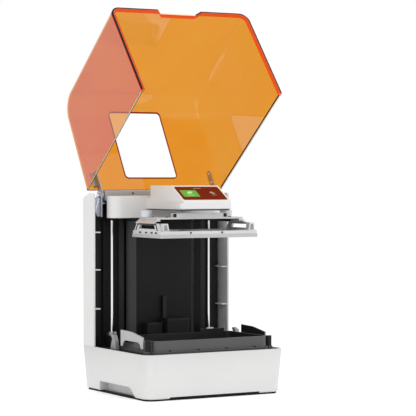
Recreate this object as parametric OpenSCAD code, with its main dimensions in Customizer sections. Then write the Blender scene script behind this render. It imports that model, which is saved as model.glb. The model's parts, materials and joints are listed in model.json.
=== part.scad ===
// Resin printer: a vat printer with a masking screen, a lifting build platform and a tilting clear hood.
// Origin: centre of the base, on the table. +X is right, +Y is back, +Z is up.
// Drawn with the hood open and the build platform at the top of its travel.

/* [Base] */
// Width of the base
base_w = 318; // [316:1:320]
// Depth of the base
base_d = 274; // [272:1:276]
// Height of the base's rim above the table
base_h = 90; // [89:0.5:91]
// How far each side leans in between the rim and the table
base_lean = 6; // [5.5:0.5:6.5]
// Radius of the base's front corners in plan
base_r = 22; // [20:1:24]
// Radius of the rear corners of the base and the column
back_r = 6; // [5.5:0.5:8]
// Wall thickness of the white mouldings
wall = 3; // [2.6:0.1:3.2]
// Height of the rubber ring that the base stands on
foot_h = 3; // [2.5:0.5:3]
// Depth of the two side grips
grip_depth = 18; // [17.5:0.5:18.5]

/* [Column] */
// Height of the two side wings
wing_top = 400; // [398:1:401]
// Where the wings start, measured back from the centre of the base
wing_y = 85.5; // [84:0.5:87]
// Wall thickness of a wing
wing_wall = 4; // [3.5:0.5:4.5]
// Half-width of the flat front of the tower cover
tower_flat = 65; // [60:1:68]
// Distance between the two guide rods
rod_gap = 227; // [226:1:228]
// Radius of a guide rod
rod_r = 3; // [2.5:0.5:3]

/* [Head] */
// Half-width of the head beam
beam_half = 129; // [127:1:130]
// Height of the head beam's top face
beam_top = 395; // [394:0.5:395]
// Height of the head beam's lower edge
beam_low = 350; // [350:1:352]
// Half-width of the console
console_half = 54; // [50:1:55]
// Height of the console's flat top
console_top = 416; // [412:1:418]
// Slope of the console's screen, in degrees
console_slope = 30.5; // [28:0.5:33]

/* [Hood] */
// Sheet thickness of the hood
hood_wall = 2.7; // [2.4:0.1:3]
// How far the hood stands open, in degrees
hood_open = 129; // [120:1:130]
// Fall of the closed hood's top towards the front, in degrees
hood_fall = 8.5; // [8:0.5:9]
// Outer radius of the bend between the hood's top and front
hood_bend = 51; // [45:1:55]
// Radius of the edges between the hood's front and its sides
hood_r = 20; // [18:1:22]
// Radius of the edges between the hood's top and its sides
hood_top_r = 6; // [5:0.5:9]

/* [Vat and platform] */
// Width of the build plate
plate_w = 221; // [218:1:222]
// Depth of the build plate
plate_d = 122; // [120:1:123]
// Height of the build plate's face at the top of its travel
plate_z = 313.5; // [313:0.5:314]
// Width of the vat's body
vat_w = 258; // [256:1:260]
// Height of the vat's rim
vat_top = 115; // [112:1:116]

/* [Hidden] */
$fn = 64;

// Common values
sides = [-1, 1];
white = [0.86, 0.86, 0.86];
black = [0.05, 0.05, 0.055];
big = 600;

// Base
shell_z = foot_h + 0.5;
deck_top = base_h - 1.5;
deck_t = 2.5;
deck_w = base_w - 2 * (wall + 0.6);
deck_d = base_d - 2 * (wall + 0.6);
floor_z = foot_h + 2;
grip_top = 22.5;
grip_front = -63;
grip_back = 67;

// Column
back_y = base_d / 2;
rod_y = 94;
screw_y = 105;
panel_y = 116;
column_low = deck_top;
plate_low = 378;
plate_high = 382;
rib_heights = [166, 245, 321];
fan_x = 60;
fan_z = 320;
led_fan_y = -48;
tower_top = 349;
panel_top = 377;
panel_t = 2;
screw_r = 4;
neck_r = 2.5;
bush_r = 5.5;

// Head
beam_y = 58;
beam_back = 86;
beam_r = 22;
console_low = 369;
console_back = 38;
console_step = 391;
skirt_half = 58;
window_half = 60;
window_front = -103;
window_back = 53;
window_r = 7;
console_front = -100;
slope_top_y = -47;
slope_low_y = -98;
glass_w = 100;
glass_d = 50;
display_w = 92;
display_d = 44;
slope_low_z = console_top - (slope_top_y - slope_low_y) * tan(console_slope);
pivot_y = 101.4;
pivot_z = 395;
pin_r = 3;
hood_arm_x = 132;
hood_arm_t = 3;
bracket_x = 136.5;
bracket_t = 3;

// Hood, in its closed place
hood_back = 82;
hood_front = -135;
hood_low = base_h + 0.5;
hood_high = 402.5;
hood_rim_h = 6.5;
hood_rim_t = 7;
bend_y = hood_front + hood_bend;
bend_z = hood_high - (hood_back - bend_y) * tan(hood_fall) - hood_bend / cos(hood_fall);
notch_half = 47;
notch_rise = 10;
notch_slope = 9;

// Vat and platform
plate_front = -110;
plate_mid = plate_front + plate_d / 2;
vat_front = -119;
vat_back = 34;
vat_mid = (vat_front + vat_back) / 2;
vat_z = 91.5;
film_z = 91.2;
flange = 5;
arm_x = 82.5;
arm_t = 5;
arm_z = 343.5;
bridge_z = 349.6;
bridge_t = 3.5;
plate_t = 7;
knob_x = 92;
knob_y = -15;
thumb_x = 138;
thumb_y = -106;

// Width that each sloping side of the base has lost at height z
function lean(z) = base_lean * (base_h - z) / base_h;

// Rounded rectangle, centred
module rounded(w, d, r) {
  square([w - 2 * r, d], center = true);
  square([w, d - 2 * r], center = true);
  for (sx = sides, sy = sides)
    translate([sx * (w / 2 - r), sy * (d / 2 - r)])
      circle(r = r);
}

// Plate with rounded corners, centred on x and y, from z0 to z1
module slab(w, d, r, y, z0, z1) {
  translate([0, y, z0])
    linear_extrude(z1 - z0)
      rounded(w, d, r);
}

// Block between two corners
module block(low, high) {
  translate(low)
    cube(high - low);
}

// The same shape on the left and on the right
module both() {
  for (s = sides)
    scale_x(s)
      children();
}

module scale_x(s) {
  if (s < 0)
    mirror([1, 0, 0])
      children();
  else
    children();
}

// Outline drawn in y and z, given thickness along x from x0 to x1
module side_plate(x0, x1) {
  translate([x0, 0, 0])
    rotate([90, 0, 90])
      linear_extrude(x1 - x0)
        children();
}

// Outline drawn in x and z, given thickness along y from y0 to y1
module front_plate(y0, y1) {
  translate([0, y1, 0])
    rotate([90, 0, 0])
      linear_extrude(y1 - y0)
        children();
}

// Round bar along z
module post(x, y, z0, z1, r) {
  translate([x, y, z0])
    cylinder(h = z1 - z0, r = r);
}

// Round bar along x
module bar_x(x0, x1, y, z, r) {
  translate([x0, y, z])
    rotate([0, 90, 0])
      cylinder(h = x1 - x0, r = r);
}

// Thin discs at the four corners of the base's outline at height z
module base_corners(z, inset) {
  for (sx = sides, sy = sides) {
    r = sy < 0 ? base_r : back_r;
    translate([sx * (base_w / 2 - lean(z) - r), sy * (base_d / 2 - lean(z) - r), z])
      cylinder(h = 0.01, r = r - inset, $fn = 32);
  }
}

// Plan of the base drawn in by inset, its corner radii smaller by shrink
module base_plan(inset, shrink) {
  half = base_w / 2 - inset;
  deep = base_d / 2 - inset;
  front = base_r - shrink;
  back = back_r - shrink;
  translate([-half + front, -deep])
    square([2 * (half - front), 2 * deep]);
  translate([-half, -deep + front])
    square([2 * half, 2 * deep - front - back]);
  translate([-half + back, 0])
    square([2 * (half - back), deep]);
  for (s = sides) {
    translate([s * (half - front), -deep + front])
      circle(r = front);
    translate([s * (half - back), deep - back])
      circle(r = back);
  }
}

// Plate in the base's plan from z0 to z1
module base_slab(inset, shrink, z0, z1) {
  translate([0, 0, z0])
    linear_extrude(z1 - z0)
      base_plan(inset, shrink);
}

// Tapered block with rounded corners: the base's outer form, drawn in by inset
module base_form(z0, z1, inset, chamfer) {
  hull() {
    base_corners(z0, inset + chamfer);
    base_corners(z0 + chamfer, inset);
    base_corners(z1, inset);
  }
}

// Side view of a grip, larger all round by grow
module grip_outline(grow) {
  polygon([
    [grip_back + 5 + grow, 0],
    [grip_back + grow, grip_top + grow],
    [grip_front - grow, grip_top + grow],
    [grip_front - 25 - grow, 0]
  ]);
}

module grips(grow) {
  inner = base_w / 2 - base_lean - grip_depth - grow;
  both()
    side_plate(inner, base_w / 2 + 1)
      grip_outline(grow);
}

module base_shell() {
  front_cut_half = 102;
  color(white)
    difference() {
      union() {
        difference() {
          base_form(shell_z, base_h, 0, 2);
          base_form(-1, base_h + 1, wall, 0);
        }
        intersection() {
          base_form(shell_z, base_h - 1, 1, 0);
          grips(2.5);
        }
        intersection() {
          base_form(deck_top - deck_t - wall, deck_top - deck_t - 0.02, 1, 0);
          deck_ledge();
        }
      }
      grips(0);
      block([-front_cut_half, -big, 0], [front_cut_half, -base_d / 2 + 40, shell_z + 3]);
      inlet_window();
      usb_window(8.2);
    }
}

// Ledge under the deck, clear of the middle
module deck_ledge() {
  difference() {
    slab(base_w, base_d, base_r, 0, 0, base_h);
    slab(deck_w - 14, deck_d - 14, base_r - 8, 0, -1, base_h + 1);
  }
}

module inlet_window() {
  block([-119.2, 125, 16.8], [-54.8, big / 3, 45.2]);
}

module usb_window(half) {
  block([102 - half, 125, 25], [102 + half, big / 3, 35]);
}

module bottom_plate() {
  inset = base_lean + wall + 0.4;
  color(black)
    difference() {
      base_slab(inset, wall, foot_h, floor_z);
      grips(3);
      post(0, led_fan_y, 0, 10, 30);
      for (i = [0 : 8])
        block([42, 34 + i * 9, 0], [114, 38 + i * 9, 10]);
    }
  color(black)
    fan_grille(0, led_fan_y, foot_h, floor_z, 30.2);
}

// Rings and spokes across a round fan opening, lying flat
module fan_grille(x, y, z0, z1, r) {
  translate([x, y, z0])
    for (k = [0 : 2])
      difference() {
        cylinder(h = z1 - z0, r = r - 9 * k);
        translate([0, 0, -1])
          cylinder(h = z1 - z0 + 2, r = r - 9 * k - 2.4);
      }
  translate([x, y, z0])
    for (a = [45, 135])
      rotate([0, 0, a])
        translate([-r + 1, -1.5, 0])
          cube([2 * r - 2, 3, z1 - z0]);
}

module foot_ring() {
  out = base_lean + 3;
  color(black)
    difference() {
      base_slab(out, 4, 0, foot_h);
      base_slab(out + 10, 5, -1, foot_h + 1);
    }
}

module top_deck() {
  color(black)
    difference() {
      base_slab(wall + 0.6, wall + 0.6, deck_top - deck_t, deck_top);
      slab(225, 126, 2, plate_mid, 0, base_h + 1);
      post(0, screw_y, 0, base_h + 1, 12);
    }
}

// Low screw head with a hexagon socket
module socket_screw(x, y, z, r) {
  difference() {
    post(x, y, z, z + 1.8, r);
    translate([x, y, z + 0.8])
      cylinder(h = 2, r = r * 0.5, $fn = 6);
  }
}

module screen_frame() {
  color([0.07, 0.07, 0.08])
    difference() {
      union() {
        slab(228.6, 128.6, 3, plate_mid, deck_top, deck_top + 2.3);
        slab(224.4, 125.4, 2, plate_mid, deck_top - 4.5, deck_top);
      }
      slab(216, 116, 1, plate_mid, 0, big);
      slab(222, 123.4, 1.5, plate_mid, deck_top + 0.3, big);
    }
}

module lcd_panel() {
  color([0.03, 0.03, 0.05])
    slab(221.6, 123, 1.4, plate_mid, deck_top + 0.3, deck_top + 2.5);
}

module light_housing() {
  low = 38.2;
  high = deck_top - 4.6;
  color([0.8, 0.8, 0.82])
    difference() {
      slab(222, 122, 4, plate_mid, low, high);
      slab(218, 118, 2, plate_mid, low - 1, high + 1);
    }
}

module lens_array() {
  pitch = 24;
  color([0.75, 0.85, 0.9, 0.5]) {
    slab(217.6, 117.6, 2, plate_mid, 46, 48);
    for (i = [-4 : 4], j = [-2 : 2])
      post(i * pitch, plate_mid + j * 23, 48, 51, 9);
  }
}

module led_board() {
  pitch = 24;
  color([0.9, 0.9, 0.85]) {
    slab(214, 114, 2, plate_mid, 36.2, 37.8);
    for (i = [-4 : 4], j = [-2 : 2])
      translate([i * pitch, plate_mid + j * 23, 38.3])
        cube([3.5, 3.5, 1], center = true);
  }
}

module heat_sink() {
  color([0.6, 0.62, 0.65]) {
    slab(180, 104, 2, plate_mid, 32, 36.2);
    for (i = [-11 : 11])
      block([i * 8 - 1, plate_mid - 50, 18.2], [i * 8 + 1, plate_mid + 50, 32]);
  }
}

// Square fan frame on its own axis, mouth radius r, between z0 and z1, its hub held by three arms
module fan_frame(size, r, z0, z1) {
  difference() {
    slab(size, size, 4, 0, z0, z1);
    difference() {
      post(0, 0, z0 - 1, z1 + 1, r);
      post(0, 0, z1 - 2, z1 + 2, 10);
      for (a = [30, 150, 270])
        rotate([0, 0, a])
          block([0, -1.5, z1 - 2], [size, 1.5, z1 + 2]);
    }
    for (sx = sides, sy = sides)
      post(sx * (size / 2 - 4), sy * (size / 2 - 4), z0 - 1, z1 + 1, 2);
  }
}

// Fan rotor on its own axis: a hub with pitched blades
module fan_rotor(r, z0, z1) {
  post(0, 0, z0, z1, 11);
  for (i = [0 : 6])
    rotate([0, 0, i * 360 / 7])
      translate([r / 2 + 5, 0, (z0 + z1) / 2])
        rotate([35, 0, 0])
          cube([r - 10.5, 7.5, 1.2], center = true);
}

module led_fan_frame() {
  color(black)
    translate([0, led_fan_y, 0])
      fan_frame(80, 37.5, floor_z, 18);
}

module led_fan_rotor() {
  color([0.12, 0.12, 0.13])
    translate([0, led_fan_y, 0])
      fan_rotor(36, 7, 15);
}

module exhaust_fan_frame() {
  color(black)
    translate([fan_x, back_y - wall - 1, fan_z])
      rotate([90, 0, 0])
        fan_frame(60, 27, 0, 12);
}

module exhaust_fan_rotor() {
  color([0.12, 0.12, 0.13])
    translate([fan_x, back_y - wall - 1, fan_z])
      rotate([90, 0, 0])
        fan_rotor(25.5, 1.5, 9);
}

module mainboard() {
  board = 14;
  color([0.05, 0.3, 0.15])
    block([34, 34, board], [122, 112, board + 1.6]);
  color([0.08, 0.08, 0.08]) {
    block([60, 56, board + 1.6], [78, 74, board + 4]);
    for (i = [0 : 3])
      block([40 + i * 18, 96, board + 1.6], [52 + i * 18, 106, board + 9]);
  }
  color([0.7, 0.7, 0.7])
    for (x = [38, 118], y = [38, 108])
      post(x, y, floor_z, board, 3);
}

module power_supply() {
  color([0.7, 0.72, 0.74])
    difference() {
      block([-125, 28, floor_z], [-45, 108, 45]);
      for (i = [0 : 6])
        block([-115 + i * 9, 40, 43], [-111 + i * 9, 96, 46]);
    }
}

module power_inlet() {
  color(black)
    difference() {
      union() {
        block([-119, 130, 17], [-55, 134.4, 45]);
        block([-114, 111, 19], [-59, 130, 43]);
      }
      block([-112, 116, 21.5], [-84, 140, 40.5]);
      block([-74.8, 115, 21], [-61.2, 140, 41]);
    }
  color([0.8, 0.7, 0.4])
    for (p = [[-98, 35], [-105, 27], [-91, 27]])
      block([p[0] - 1, 116, p[1] - 2], [p[0] + 1, 130, p[1] + 2]);
}

module power_rocker() {
  color([0.12, 0.12, 0.12])
    translate([-68, 127, 31])
      rotate([9, 0, 0])
        intersection() {
          bar_x(-6.4, 6.4, 0, 0, 9.6);
          side_plate(-6.4, 6.4)
            polygon([[-6, -9.6], [-6, 9.6], [9, 9.6], [6.6, 0], [9, -9.6]]);
        }
}

module usb_port() {
  color([0.75, 0.75, 0.76])
    difference() {
      block([94, 114, 25.2], [110, 134, 34.8]);
      block([95.5, 117, 27], [108.5, 140, 33]);
    }
}

// Plan of the upright walls at the back corners, thickness t
module corner_wall(t) {
  difference() {
    base_plan(0, 0);
    base_plan(t, t);
  }
}

// Right-hand wing of the column
module wing() {
  return_x = 117;
  cut_y = 107;
  cut_z = 11;
  difference() {
    union() {
      translate([0, 0, base_h])
        linear_extrude(wing_top - base_h)
          intersection() {
            corner_wall(wing_wall);
            translate([return_x, wing_y])
              square([100, 100]);
          }
      for (z = rib_heights)
        block([base_w / 2 - 17, wing_y + 2, z - 1.2], [base_w / 2 - wing_wall, wing_y + 30, z + 1.2]);
    }
    side_plate(100, 200)
      polygon([
        [cut_y, wing_top + 1],
        [cut_y, wing_top],
        [back_y, wing_top - cut_z],
        [back_y + 5, wing_top - cut_z],
        [back_y + 5, wing_top + 1]
      ]);
    side_plate(100, 200)
      polygon([[wing_y - 1, wing_top - 4], [wing_y + 4, wing_top + 1], [wing_y - 1, wing_top + 1]]);
  }
}

module wing_right() {
  color(white)
    wing();
}

module wing_left() {
  color(white)
    mirror([1, 0, 0])
      wing();
}

module rear_cover() {
  high = wing_top - 11;
  color(white)
    difference() {
      block([-116.5, back_y - wall, base_h], [116.5, back_y, high]);
      for (i = [0 : 10])
        block([-70, 110, 130 + i * 9], [70, 150, 134 + i * 9]);
      translate([fan_x, back_y + 1, fan_z])
        rotate([90, 0, 0])
          cylinder(h = 20, r = 27);
    }
  color(white)
    translate([0, back_y - wall, 0])
      rotate([90, 0, 0])
        mirror([0, 0, 1])
          fan_grille(fan_x, fan_z, 0, wall, 27.2);
}

module back_panel() {
  fold = 10;
  color([0.04, 0.04, 0.045]) {
    block([-149, panel_y, column_low], [149, panel_y + panel_t, panel_top]);
    both()
      block([124, panel_y - fold, column_low], [124 + panel_t, panel_y, panel_top]);
  }
}

module column_liners() {
  color([0.18, 0.18, 0.19])
    both() {
      block([89.5, 86, column_low], [101, 88, tower_top]);
      block([99, 88, column_low], [101, 92, tower_top]);
      block([104, 85, column_low], [123, 103, 111]);
    }
}

// Plan of the folded tower cover, between two parallel outlines
module tower_plan(t) {
  edge = tower_flat + 15.5;
  polygon([
    [-edge, 95], [-tower_flat, 79], [tower_flat, 79], [edge, 95],
    [edge - 1.4 * t, 95], [tower_flat - 0.5 * t, 79 + t], [-tower_flat + 0.5 * t, 79 + t],
    [-edge + 1.4 * t, 95]
  ]);
}

module tower_cover() {
  color([0.1, 0.1, 0.105])
    translate([0, 0, column_low])
      linear_extrude(tower_top - column_low)
        tower_plan(2);
}

module rod_feet() {
  color([0.85, 0.85, 0.86])
    both()
      difference() {
        block([106, 87, 111], [122, 101, 118]);
        post(rod_gap / 2, rod_y, 112, 130, rod_r);
      }
}

module guide_rods() {
  color([0.85, 0.86, 0.88])
    both()
      post(rod_gap / 2, rod_y, 112, plate_high, rod_r);
}

module top_plate() {
  color([0.25, 0.25, 0.26])
    difference() {
      block([-128, 87, plate_low], [128, panel_y + panel_t, plate_high]);
      both()
        post(rod_gap / 2, rod_y, 0, big, rod_r);
      post(0, screw_y, 0, big, 8);
    }
}

module screw_bearing() {
  color([0.8, 0.8, 0.82])
    difference() {
      post(0, screw_y, plate_low, plate_high, 8);
      post(0, screw_y, 0, big, screw_r + 0.05);
    }
}

module stepper_motor() {
  color([0.15, 0.15, 0.16])
    difference() {
      translate([0, screw_y, 44])
        linear_extrude(40)
          rounded(42.3, 42.3, 5);
      post(0, screw_y, 70, 90, 3);
    }
}

module lead_screw() {
  color([0.7, 0.71, 0.73]) {
    post(0, screw_y, 92, plate_high + 2, screw_r);
    post(0, screw_y, 72, 92, neck_r);
  }
}

module coupler() {
  color([0.6, 0.6, 0.62])
    difference() {
      post(0, screw_y, 90, 114, 9.5);
      post(0, screw_y, 92, 120, screw_r);
      post(0, screw_y, 80, 100, neck_r);
    }
}

// Plan of the head beam: square at the back, rounded at the front
module beam_plan(inset) {
  half = beam_half - inset;
  depth = beam_back - beam_y - inset;
  r = beam_r - inset;
  translate([0, beam_y + inset])
    intersection() {
      translate([-half, 0])
        square([2 * half, depth]);
      translate([0, depth])
        rounded(2 * half, 2 * depth, r);
    }
}

module beam_cover() {
  color(white)
    difference() {
      translate([0, 0, beam_low])
        linear_extrude(beam_top - beam_low)
          beam_plan(0);
      translate([0, 0, beam_low - 1])
        linear_extrude(beam_top - beam_low - wall + 1)
          beam_plan(wall);
    }
}

module top_cap() {
  color([0.75, 0.75, 0.76])
    block([-beam_half, beam_back, 385], [beam_half, back_y - wing_wall - 0.4, 388]);
}

module hinge_bar() {
  color([0.55, 0.56, 0.58])
    block([-beam_half, 90, 388], [beam_half, 112, 405]);
}

module hinge_brackets() {
  color([0.5, 0.53, 0.58])
    both() {
      difference() {
        side_plate(bracket_x, bracket_x + bracket_t)
          polygon([[90, 352], [90, 398], [96, 404], [107, 404], [114, 396], [114, 372], [104, 352]]);
        bar_x(100, 150, pivot_y, pivot_z, pin_r);
      }
      block([128, 92, plate_low], [bracket_x, 112, plate_high]);
    }
}

module hinge_pins() {
  color([0.85, 0.86, 0.88])
    both() {
      bar_x(130.5, 141, pivot_y, pivot_z, pin_r);
      bar_x(141, 143, pivot_y, pivot_z, pin_r + 2);
    }
}

// Side view of the console, drawn in by t
module console_outline(t) {
  slope = (slope_low_z - console_top) / (slope_low_y - slope_top_y);
  polygon([
    [beam_y, console_low + t],
    [beam_y, console_step - t],
    [console_back - t, console_step - t],
    [console_back - t, console_top - t],
    [slope_top_y + 0.3 * t, console_top - t],
    [slope_low_y + t, slope_low_z - 0.9 * t + 0.3 * t * slope],
    [console_front + t, slope_low_z - 4],
    [console_front + t, console_low + 3],
    [console_front + 3 + t, console_low + t]
  ]);
}

// The wider skirt round the console's lower front
module console_skirt() {
  translate([0, 0, console_low + 2])
    linear_extrude(11)
      polygon([
        [-console_half, -56], [-skirt_half, -66], [-skirt_half, -94], [-console_half, console_front],
        [console_half, console_front], [skirt_half, -94], [skirt_half, -66], [console_half, -56]
      ]);
}

// Frame of the screen's sloping face: origin at its middle, x across, y up the slope
module on_slope() {
  translate([0, (slope_top_y + slope_low_y) / 2, (console_top + slope_low_z) / 2])
    rotate([console_slope, 0, 0])
      children();
}

module console_body() {
  color(white)
    difference() {
      union() {
        side_plate(-console_half, console_half)
          console_outline(0);
        console_skirt();
      }
      side_plate(-console_half + wall, console_half - wall)
        console_outline(wall);
      on_slope() {
        translate([0, 0, -1.6])
          linear_extrude(5)
            rounded(glass_w + 0.4, glass_d + 0.4, 4);
        translate([0, 0, -6])
          linear_extrude(6)
            rounded(display_w + 0.6, display_d + 0.6, 2.3);
      }
    }
}

module screen_glass() {
  color([0.36, 0.08, 0.05])
    on_slope()
      translate([0, 0, -1.5])
        linear_extrude(1.6)
          rounded(glass_w, glass_d, 3.8);
}

module display_panel() {
  color([0.1, 0.12, 0.1])
    on_slope()
      translate([0, 0, -5])
        linear_extrude(3.3)
          rounded(display_w, display_d, 2);
}

module feed_module() {
  color([0.06, 0.06, 0.065]) {
    block([-12, 42, column_low], [38, 78.5, 144]);
    block([-50, 56, column_low], [-15, 78.5, 136]);
    block([-15, 64, column_low], [-12, 78.5, 130]);
    block([-7, 71, 144], [1, 78.5, 189]);
  }
}

module vat_guides() {
  color([0.62, 0.63, 0.64])
    both()
      side_plate(137, 146)
        polygon([[14, column_low], [17, 106], [24, 118], [36, 122], [38, 119], [30, 110], [38, column_low]]);
}

// Moves the hood from its closed place to its open one
module opened() {
  translate([0, pivot_y, pivot_z])
    rotate([-hood_open, 0, 0])
      translate([0, -pivot_y, -pivot_z])
        children();
}

// Radius of the hood's side edges, a share of the way round the bend
function edge_r(share) = hood_r + (hood_top_r - hood_r) * share;

// Solid form of the closed hood drawn in by t, before its back and bottom are cut
module hood_form(t) {
  steps = 7;
  turn = 90 - hood_fall;
  past = hood_back + 28;
  past_z = hood_high + (past - hood_back) * tan(hood_fall) - hood_top_r / cos(hood_fall);
  hull()
    both() {
      for (i = [0 : steps])
        translate([
          base_w / 2 - edge_r(i / steps),
          bend_y - (hood_bend - edge_r(i / steps)) * cos(turn * i / steps),
          bend_z + (hood_bend - edge_r(i / steps)) * sin(turn * i / steps)
        ])
          sphere(r = edge_r(i / steps) - t, $fn = 32);
      post(base_w / 2 - hood_r, hood_front + hood_r, 60, 62, hood_r - t, $fn = 32);
      translate([base_w / 2 - hood_top_r, past, past_z])
        sphere(r = hood_top_r - t, $fn = 32);
      post(base_w / 2 - hood_top_r, past, 60, 62, hood_top_r - t, $fn = 32);
    }
}

// Front view of what lies under the rim's upper edge
module below_rim() {
  low = hood_low + hood_rim_h;
  polygon([
    [-big, 0], [-big, low],
    [-notch_half, low], [-notch_half + notch_slope, low + notch_rise],
    [notch_half - notch_slope, low + notch_rise], [notch_half, low],
    [big, low], [big, 0]
  ]);
}

// Plan of the opening that the console stands through
module console_window() {
  translate([0, (window_front + window_back) / 2])
    rounded(2 * window_half, window_back - window_front, window_r);
}

module hood_shell() {
  color([0.95, 0.5, 0.15, 0.45])
    opened()
      difference() {
        hood_form(0);
        hood_form(hood_wall);
        block([-big, hood_back, 0], [big, big, big]);
        front_plate(-big, big)
          below_rim();
        translate([0, 0, 330])
          linear_extrude(100)
            console_window();
      }
}

// Plan of the hood's rim, drawn in by inset
module rim_plan(inset) {
  y0 = hood_front + inset;
  y1 = 140;
  translate([0, (y0 + y1) / 2])
    rounded(base_w - 2 * inset, y1 - y0, hood_r - inset);
}

module hood_rim() {
  low = hood_low;
  high = hood_low + hood_rim_h;
  foot = notch_half + 3;
  color([0.92, 0.3, 0.08])
    opened() {
      difference() {
        translate([0, 0, low])
          linear_extrude(hood_rim_h)
            difference() {
              rim_plan(0);
              rim_plan(hood_rim_t);
            }
        block([-big, hood_back, 0], [big, big, big]);
        block([-foot - 5, -200, 0], [foot + 5, -100, 200]);
      }
      front_plate(hood_front, hood_front + hood_rim_t)
        polygon([
          [-foot - 5, low], [-foot, low],
          [-foot + notch_slope, low + notch_rise], [foot - notch_slope, low + notch_rise],
          [foot, low], [foot + 5, low], [foot + 5, high],
          [notch_half, high], [notch_half - notch_slope, high + notch_rise],
          [-notch_half + notch_slope, high + notch_rise], [-notch_half, high], [-foot - 5, high]
        ]);
    }
}

module hood_arms() {
  color([0.5, 0.53, 0.58])
    opened()
      both() {
        difference() {
          union() {
            bar_x(hood_arm_x, hood_arm_x + hood_arm_t, pivot_y, pivot_z, 9);
            side_plate(hood_arm_x, hood_arm_x + hood_arm_t)
              polygon([[pivot_y, 386.2], [80, 383], [46, 381], [44, 391.5], [84, 397.5], [pivot_y, 403.8]]);
          }
          bar_x(100, 150, pivot_y, pivot_z, pin_r + 0.05);
        }
        side_plate(hood_arm_x + hood_arm_t, 143)
          polygon([[46, 389.5], [44, 392.9], [78, 397.9], [78, 394.4]]);
      }
}

module carriage_beam() {
  block_x = 106;
  color([0.3, 0.3, 0.32])
    difference() {
      union() {
        block([-block_x, 98, 350], [block_x, 112, 374]);
        both()
          block([block_x, 86.5, 345], [121.5, 112, 375]);
      }
      both()
        post(rod_gap / 2, rod_y, 300, 400, bush_r);
      post(0, screw_y, 300, 400, 6);
    }
}

module rod_bushings() {
  color([0.75, 0.6, 0.35])
    both()
      difference() {
        post(rod_gap / 2, rod_y, 345, 375, bush_r);
        post(rod_gap / 2, rod_y, 300, 400, rod_r + 0.06);
      }
}

module lead_nut() {
  color([0.75, 0.6, 0.35])
    difference() {
      union() {
        post(0, screw_y, 346, 350, 11);
        post(0, screw_y, 350, 366, 6);
      }
      post(0, screw_y, 300, 400, screw_r + 0.06);
    }
}

module carriage_arms() {
  color([0.15, 0.15, 0.16])
    both() {
      side_plate(arm_x, arm_x + arm_t)
        polygon([[-42, arm_z], [98, arm_z], [98, 372], [92, 372], [90, 349.2], [-42, 349.2]]);
    }
}

module build_plate() {
  color([0.7, 0.71, 0.72])
    slab(plate_w, plate_d, 3, plate_mid, plate_z, plate_z + plate_t);
}

// Side bracket of the cradle, on the right
module cradle_side(low) {
  difference() {
    side_plate(103.5, 109)
      polygon([[-101, low], [-91, low + 15], [-6, low + 15], [4, low]]);
    side_plate(100, 112)
      polygon([[-84, low + 4], [-79, low + 11.5], [-20, low + 11.5], [-15, low + 4]]);
  }
}

module plate_cradle() {
  frame_low = plate_z + plate_t;
  low = plate_z + 13.5;
  color([0.72, 0.73, 0.74]) {
    difference() {
      slab(plate_w - 2, plate_d - 2, 3, plate_mid, frame_low, low);
      for (s = sides)
        translate([s * 49, 0, 0])
          slab(82, plate_d - 26, 4, plate_mid, 0, big);
    }
    both() {
      cradle_side(low);
      front_plate(-107, -95)
        polygon([[90, low], [103.5, low], [103.5, low + 15], [93, low + 15]]);
      front_plate(-70, 2)
        polygon([
          [98, bridge_z], [108.5, low + 15], [103.5, low + 15], [96, bridge_z - 4], [90, bridge_z - 4],
          [90, bridge_z + bridge_t], [100, bridge_z + bridge_t]
        ]);
    }
    difference() {
      block([-90, -70, bridge_z], [90, 2, bridge_z + bridge_t]);
      block([-60, -36, 300], [60, -8, 400]);
    }
    block([-62, -70, bridge_z + bridge_t], [62, -62, bridge_z + 12]);
  }
}

// Round clamp knob over one arm of the carriage
module clamp_knob(s) {
  low = bridge_z + bridge_t + 0.3;
  color([0.6, 0.61, 0.62])
    translate([s * knob_x, knob_y, low])
      difference() {
        union() {
          cylinder(h = 13, r = 12);
          translate([0, 0, 9])
            rotate([0, 0, 90])
              block([0, -2.5, 0], [17, 2.5, 4]);
        }
        translate([0, 0, 10])
          cylinder(h = 5, r = 8);
      }
}

module clamp_knob_left() {
  clamp_knob(-1);
}

module clamp_knob_right() {
  clamp_knob(1);
}

module vat_body() {
  r = 14;
  color([0.22, 0.22, 0.225])
    difference() {
      union() {
        slab(vat_w, vat_back - vat_front, r, vat_mid, vat_z, vat_top);
        slab(vat_w + 2 * flange, vat_back - vat_front + 2 * flange, r + flange, vat_mid, vat_z, vat_z + 3);
        block([58, vat_back - 4, vat_top - 5], [114, vat_back, vat_top + 6]);
        both()
          slab_at(thumb_x, thumb_y, 12, 16, 4, vat_z, vat_z + 3);
      }
      slab(vat_w - 8, vat_back - vat_front - 8, r - 4, vat_mid, vat_z + 3, vat_top + 20);
      slab(229, 129.5, 5, plate_mid, 0, 200);
      both()
        post(thumb_x, thumb_y, 0, 200, 3.2);
    }
}

// Rounded plate centred anywhere in plan
module slab_at(x, y, w, d, r, z0, z1) {
  translate([x, y, z0])
    linear_extrude(z1 - z0)
      rounded(w, d, r);
}

module vat_film() {
  color([0.9, 0.95, 1, 0.4])
    slab(246, 142, 8, plate_mid + 2, film_z, vat_z);
}

module film_frame() {
  low = deck_top + 0.2;
  color([0.3, 0.3, 0.31])
    difference() {
      union() {
        slab(vat_w + 2 * flange, vat_back - vat_front + 2 * flange, 19, vat_mid, low, film_z);
        both()
          slab_at(thumb_x, thumb_y, 12, 16, 4, low, film_z);
      }
      slab(233, 133.5, 4, plate_mid, 0, 200);
      both()
        post(thumb_x, thumb_y, 0, 200, 3.2);
    }
}

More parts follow.
